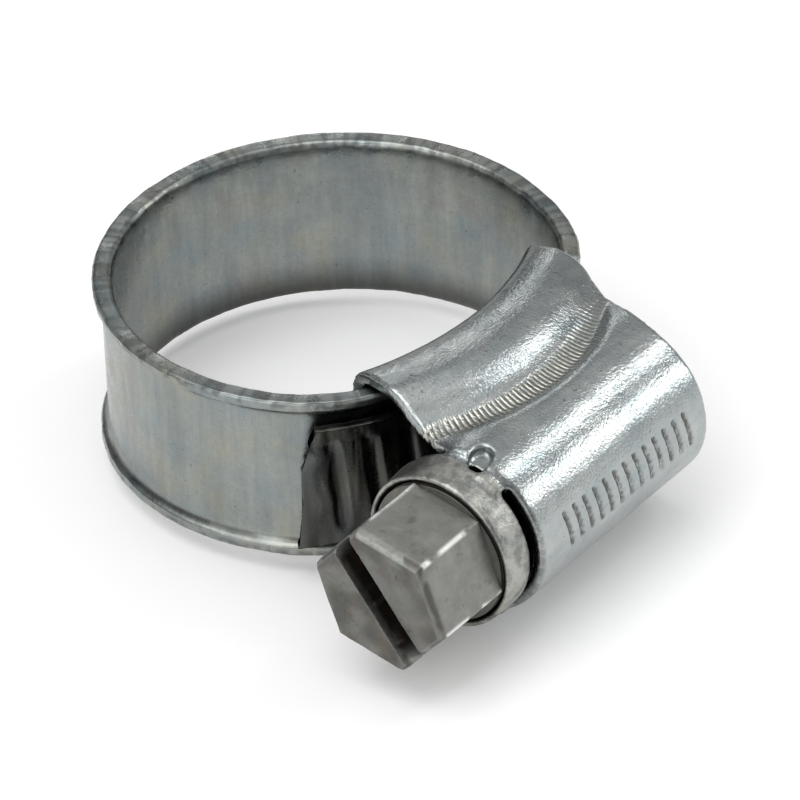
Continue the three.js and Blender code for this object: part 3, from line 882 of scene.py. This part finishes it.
def housing_corners(t):
    """Middle of the housing's sheet at one place along the screw, as (z, r) for its upper half."""
    plate = PLATE_R - t * t / (2 * PLATE_BEND)
    ridge = arched(RIDGE, t)
    valley = arched(VALLEY, t)
    corners = [
        (0, plate),
        (2.2, plate),
        (4.2, plate),
        (FLANGE_HALF_HEIGHT - 0.35, plate + 0.35),
        (FLANGE_HALF_HEIGHT - 0.08, plate + 1.1),
        (FLANGE_HALF_HEIGHT + 0.02, mix(plate + 1.1, ridge - 1.0, 0.55)),
        (FLANGE_HALF_HEIGHT, ridge - 1.0),
        (FLANGE_HALF_HEIGHT - 0.3, ridge - 0.1),
        (FLANGE_HALF_HEIGHT - 0.8, ridge + 0.8),
        (VALLEY_HALF_HEIGHT, valley),
    ]
    start = math.acos((valley + 0.9 - AXIS_R) / BARREL_RADIUS)
    steps = 9
    for i in range(steps + 1):
        angle = start * (1 - i / steps)
        corners.append((BARREL_RADIUS * math.sin(angle), AXIS_R + BARREL_RADIUS * math.cos(angle)))
    return corners


def head_cut(r):
    """Where the sheet starts along the screw, at a distance out from the hose."""
    return max(BARREL_SPAN[0], FLANGE_SPAN[0] - HEAD_CUT_SLOPE * (r - HEAD_CUT_R))


def tip_cut(r):
    """Where the sheet stops along the screw."""
    slanted = FLANGE_SPAN[1] - TIP_CUT_SLOPE * (r - TIP_CUT_R)
    return min(FLANGE_SPAN[1], max(BARREL_SPAN[1], slanted))


def corner_point(index, share):
    """One corner at a share of the way from its own start to its own end."""
    t = 0.0
    for _ in range(6):
        r = housing_corners(t)[index][1]
        t = mix(head_cut(r), tip_cut(r), share)
    z, r = housing_corners(t)[index]
    return Vector((t, -r, z))


def centripetal(p, share):
    """Point and tangent at a share of the way from p[1] to p[2] on a centripetal Catmull-Rom curve."""
    g, h, k = (max((p[n + 1] - p[n]).length ** 0.5, 1e-4) for n in range(3))
    into = ((p[1] - p[0]) / g - (p[2] - p[0]) / (g + h) + (p[2] - p[1]) / h) * h
    away = ((p[2] - p[1]) / h - (p[3] - p[1]) / (h + k) + (p[3] - p[2]) / k) * h
    a = 2 * p[1] - 2 * p[2] + into + away
    b = -3 * p[1] + 3 * p[2] - 2 * into - away
    point = ((a * share + b) * share + into) * share + p[1]
    tangent = (3 * a * share + 2 * b) * share + into
    return point, tangent.normalized()


def housing_section(share, per_corner):
    """The sheet's outer and inner outline at a share of the way from its start to its end."""
    upper = [corner_point(index, share) for index in range(len(housing_corners(0)))]
    lower = [Vector((p.x, p.y, -p.z)) for p in upper[1:-1]][::-1]
    corners = upper + lower
    total = len(corners)
    outer, inner = [], []
    for i in range(total * per_corner):
        k = i // per_corner
        around = [corners[(k + n - 1) % total] for n in range(4)]
        point, tangent = centripetal(around, i % per_corner / per_corner)
        side = Vector((1, 0, 0)).cross(tangent).normalized() * (SHEET / 2)
        outer.append(point + side)
        inner.append(point - side)
    return outer, inner


def housing_wall():
    """The saddle and barrel as one wall, closed on itself at both ends."""
    steps = 48
    sections = [housing_section(i / steps, 5) for i in range(steps + 1)]
    rings = [outer for outer, _ in sections] + [inner for _, inner in sections][::-1]
    return skin("housing_shell", rings, wrap=True)


def screw_loop():
    """The ring at the housing's mouth, thicker and reaching further back above and below."""
    front, back = LOOP_SPAN
    inner, outer = LOOP_RADII
    rings = []
    sides = 180
    for j in range(sides):
        angle = 360 * j / sides
        from_out = min(angle, 360 - angle)
        reach = smoothstep((from_out - 76) / 10) * (1 - smoothstep((from_out - 118) / 12)) * 0.3
        swell = smoothstep((from_out - 40) / 30) * 0.12
        rings.append([
            round_screw(front, LOOP_RIM_RADIUS, angle),
            round_screw(front + 0.5, LOOP_RIM_RADIUS - 0.08, angle),
            round_screw(front + 0.75, inner, angle),
            round_screw(back + reach, inner, angle),
            round_screw(back + reach, outer + swell, angle),
            round_screw(front, outer, angle),
        ])
    return skin("loop", rings, wrap=True)


def lanced_hole():
    """The cutter for the oval hole where the ring parts from the barrel."""
    sides = 32
    rings = []
    for radius in (4.16, 6.0):
        ring = []
        for i in range(sides):
            a = 2 * math.pi * i / sides
            t = HOLE_T + 0.86 * math.cos(a) - 0.1 * math.sin(a)
            angle = HOLE_ANGLE + 7.5 * math.sin(a) + 2.5 * math.cos(a)
            ring.append(round_screw(t, radius, angle))
        rings.append(ring)
    return skin("hole", rings)


def loop_straps():
    """What joins the loop to the barrel, above and below."""
    span = (LOOP_SPAN[1] - STRAP_OVERLAPS[0], BARREL_SPAN[0] + STRAP_OVERLAPS[1])
    low, high = STRAP_ANGLES
    return [sector("strap", span, STRAP_RADII, (sign * low, sign * high), 12) for sign in (1, -1)]


def dash_share(point):
    """1 inside the plain slanted dashes that stand in for stamped marks, and 0 off them."""
    turn = math.degrees(math.atan2(point.z, -point.y - AXIS_R))
    along = point.x + DASH_SLANT * turn - DASH_START
    number = math.floor(along / DASH_PITCH)
    if not 0 <= number < DASH_COUNT:
        return 0.0
    off = abs(along - (number + 0.5) * DASH_PITCH)
    inside = 1 - smoothstep((off - 0.07) / 0.13)
    low, high = DASH_ANGLES
    return inside * smoothstep((turn - low) / 3) * (1 - smoothstep((turn - high) / 3))


def along_normals(thing, depth_at):
    """Moves each vertex along its normal by depth_at(point) millimetres."""
    moves = [vertex.normal * depth_at(vertex.co) for vertex in thing.data.vertices]
    for vertex, move in zip(thing.data.vertices, moves):
        vertex.co += move
    thing.data.update()


def crease_share(point):
    """1 along the crease between saddle and barrel, fading to 0 on both sides."""
    off = -point.y - arched(VALLEY, point.x) + 0.35
    high = smoothstep((abs(point.z) - 3.3) / 0.5)
    return high * (1 - smoothstep((abs(off) - 0.35) / 0.45))


def housing_dent(point):
    """How far the sheet's surface is from its plain shape: uneven, and pressed in at the marks."""
    broad = noise.fractal(point * 0.4, 1.0, 2.0, 2) * 0.02
    soft = noise.noise(point * 1.6 + Vector((4, 1, 7))) * 0.004
    return broad + soft - 0.05 * crease_share(point) - DASH_DEPTH * dash_share(point)


def loop_share(point):
    """1 on the loop round the screw's neck, where handling has dulled the zinc."""
    return smoothstep((LOOP_SPAN[1] + 0.15 - point.x) / 0.3)


def housing_dirt_and_gap_shade(point):
    """How dark a point is made: dirt in the pressed dashes, and painted shade in the gap behind the loop.
    """
    row = smoothstep((dash_share(point) - 0.1) / 0.5)
    # Painted shade in the gap between the loop and the barrel, darker in the bore than outside.
    gap = smoothstep((point.x + 10.6) / 0.5) * (1 - smoothstep((point.x + 9.55) / 0.25))
    gap *= smoothstep((-point.y - AXIS_R) / 2)
    on_outside = math.hypot(point.y + AXIS_R, point.z) > 4.0
    return max(row, (0.6 if on_outside else 0.9) * gap)


def mark_housing(thing):
    """Stores where the forming tool has left its row of fine marks, how far along each point is, where the
    sheet is dirty or worn, and where shade is painted into the gap behind the loop."""
    marks, along, grime, handled = [], [], [], []
    for vertex in thing.data.vertices:
        p = vertex.co
        marks.append(crease_share(p) * (1 - 0.75 * smoothstep((p.x - 0.5) / 4)))
        along.append(p.x - (p.x - VALLEY[0]) / VALLEY[2] * (-p.y - arched(VALLEY, p.x)))
        # Dirt in the dashes, and painted shade in the gap behind the loop.
        grime.append(housing_dirt_and_gap_shade(p))
        handled.append(loop_share(p) * (0.75 + 0.25 * smoothstep((-p.z - 0.5) / 3)))
    store(thing.data, "tool_marks", marks)
    store(thing.data, "mark_phase", along)
    store(thing.data, "dash_dirt_gap_shade", grime)
    store(thing.data, "handled", handled)


def make_housing(material):
    end = BARREL_SPAN[1]
    end_lip = sector("lip", (end - END_LIP_LENGTH, end), END_LIP_RADII, (-END_LIP_ANGLE, END_LIP_ANGLE), 60)
    housing = join([housing_wall(), screw_loop(), *loop_straps(), end_lip])
    remesh(housing, HOUSING_VOXEL, 3)
    cut(housing, lanced_hole())
    remesh(housing, HOUSING_VOXEL, 5)
    along_normals(housing, housing_dent)
    mark_housing(housing)
    shade_smooth(housing)
    housing.name = "housing_shell"
    finish_piece(housing, material, ["housing"])
    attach(housing, "housing")


# ---- the screw ----------------------------------------------------------------------------------

def hexagon(t, corner):
    return [round_screw(t, corner, HEX_TURN + 60 * k) for k in range(6)]


def driver_slot():
    """The cutter for the slot across the head."""
    middle = (AXIS_R - SLOT_WIDTH / 2, AXIS_R + SLOT_WIDTH / 2)
    slot = box("slot", (HEX_SPAN[0] - 2, HEX_SPAN[0] + SLOT_DEPTH), middle, (-8, 8))
    about = Matrix.Translation(Vector((0, -AXIS_R, 0)))
    turn = Matrix.Rotation(-math.radians(90 + SLOT_TURN), 4, "X")
    slot.data.transform(about @ turn @ about.inverted())
    return slot


def make_hex_head():
    corner = HEX_FLATS / math.sqrt(3)
    end, shoulder = HEX_SPAN
    head = skin("hex_head", [
        hexagon(end, corner - 0.32),
        hexagon(end + 0.22, corner - 0.1),
        hexagon(end + 0.6, corner),
        hexagon(shoulder, corner),
    ])
    cut(head, driver_slot())
    remesh(head, HEAD_VOXEL, 2)
    along_normals(head, head_dent)
    return head


def head_dent(point):
    """A slightly uneven surface with small dings, which gather along the head's edges."""
    broad = noise.fractal(point * 0.5, 1.0, 2.0, 2) * 0.03
    ding = noise.noise(point * 1.5 + Vector((3, 8, 1)))
    near_edge = edge_share(point) + 0.25
    return broad - 0.06 * smoothstep((ding - 0.3) / 0.3) * near_edge


def make_spindle():
    """The ridged shoulder behind the head, the neck that turns in the loop, the core and the tip."""
    shoulder = [
        (HEX_SPAN[1] - 0.4, 2.0), (HEX_SPAN[1] - 0.12, 3.4), (-12.12, 3.86), (-12.06, 3.88),
        (-12.0, 3.68), (-11.95, 3.68), (-11.9, 3.88), (-11.84, 3.88),
        (-11.79, 3.66), (-11.74, 3.66), (-11.69, 3.84), (-11.64, 3.84),
    ]
    neck = [(-11.58, 3.5), (-11.3, JOURNAL_RADIUS), (-10.1, JOURNAL_RADIUS), (-10.0, 3.15)]
    core = [(-9.95, TIP_RADIUS), (-8.4, TIP_RADIUS), (3.6, TIP_RADIUS)]
    tip = [(SCREW_END - 0.15, TIP_RADIUS), (SCREW_END, TIP_RADIUS - 0.15)]
    return turned("spindle", shoulder + neck + core + tip)


def make_worm():
    sides, per_pitch = 72, 28
    steps = round((WORM_SPAN[1] - WORM_SPAN[0]) / PITCH * per_pitch)
    rings = []
    for i in range(steps + 1):
        t = mix(WORM_SPAN[0], WORM_SPAN[1], i / steps)
        fade = smoothstep(min(t - WORM_SPAN[0], WORM_SPAN[1] - t) / (PITCH / 2))
        ring = []
        for j in range(sides):
            phase = (t / PITCH + j / sides) % 1
            crest = 1 - abs(phase * 2 - 1)
            height = smoothstep(crest * 1.7) * fade
            ring.append(round_screw(t, mix(WORM_ROOT, WORM_RADIUS, height), 360 * j / sides))
        rings.append(ring)
    return skin("worm", rings)


def edge_share(point):
    """How near a point is to one of the hexagon's long edges."""
    turn = math.degrees(math.atan2(point.z, -point.y - AXIS_R)) - HEX_TURN
    radius = math.hypot(point.y + AXIS_R, point.z)
    off = abs((turn + 30) % 60 - 30) * math.radians(radius)
    return 1 - smoothstep((off - 0.05) / 0.16)


def head_wear(point):
    """How far the zinc is rubbed off: in patches along the head's long edges."""
    patchy = smoothstep((noise.noise(point * 0.9 + Vector((2, 5, 2))) + 0.25) / 0.5)
    on_head = 1 - smoothstep((point.x - HEX_SPAN[1] + 0.1) / 0.1)
    behind_end = smoothstep((point.x - HEX_SPAN[0] - 0.35) / 0.25)
    return 0.9 * edge_share(point) * patchy * on_head * behind_end


def screw_grime(point, facing):
    """How dirty a point is, from its place and from how its surface faces along the screw."""
    radius = math.hypot(point.y + AXIS_R, point.z)
    from_end = point.x - HEX_SPAN[0]
    neck = smoothstep((point.x - HEX_SPAN[1] + 0.15) / 0.2) * (1 - smoothstep((point.x - 4.0) / 0.4))
    neck *= 0.95 if radius < 3.78 else 0.6
    slot_side = smoothstep((from_end - 0.15) / 0.5) if abs(facing) < 0.5 else 0
    slot_side *= 1 - smoothstep((radius - 2.7) / 0.8)
    slot_floor = 1 if facing < -0.7 and 0.8 < from_end < 2 else 0
    settled = smoothstep((noise.noise(point * 0.8 + Vector((6, 1, 4))) + 0.4) / 0.8)
    end_face = smoothstep((-facing - 0.6) / 0.3) * (0.3 + 0.3 * settled)
    dented = smoothstep((noise.noise(point * 1.1 + Vector((1, 9, 2))) + 0.15) / 0.4)
    rim = 0.6 * dented * (1 - smoothstep((abs(from_end - 0.3) - 0.08) / 0.2))
    return max(neck, 0.9 * slot_side, 0.9 * slot_floor, end_face, rim)


def mark_wear(thing):
    """Stores where the head is worn bright along its edges and where grime has settled."""
    vertices = thing.data.vertices
    wear = [head_wear(vertex.co) for vertex in vertices]
    grime = [screw_grime(vertex.co, vertex.normal.x) for vertex in vertices]
    store(thing.data, "wear", wear)
    store(thing.data, "grime", grime)


def make_screw(material):
    screw = join([make_hex_head(), make_spindle(), make_worm()])
    screw.name = "screw"
    mark_wear(screw)
    shade_smooth(screw)
    screw.data.set_sharp_from_angle(angle=math.radians(40))
    finish_piece(screw, material, ["worm_screw"])
    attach(screw, "screw")


# ---- assembly -----------------------------------------------------------------------------------
make_camera()
make_lights()
make_floor(cad_box[0][2])
make_housing(housing_material())
make_screw(screw_material())
make_band(band_material())

bpy.context.scene.view_settings.view_transform = "Standard"
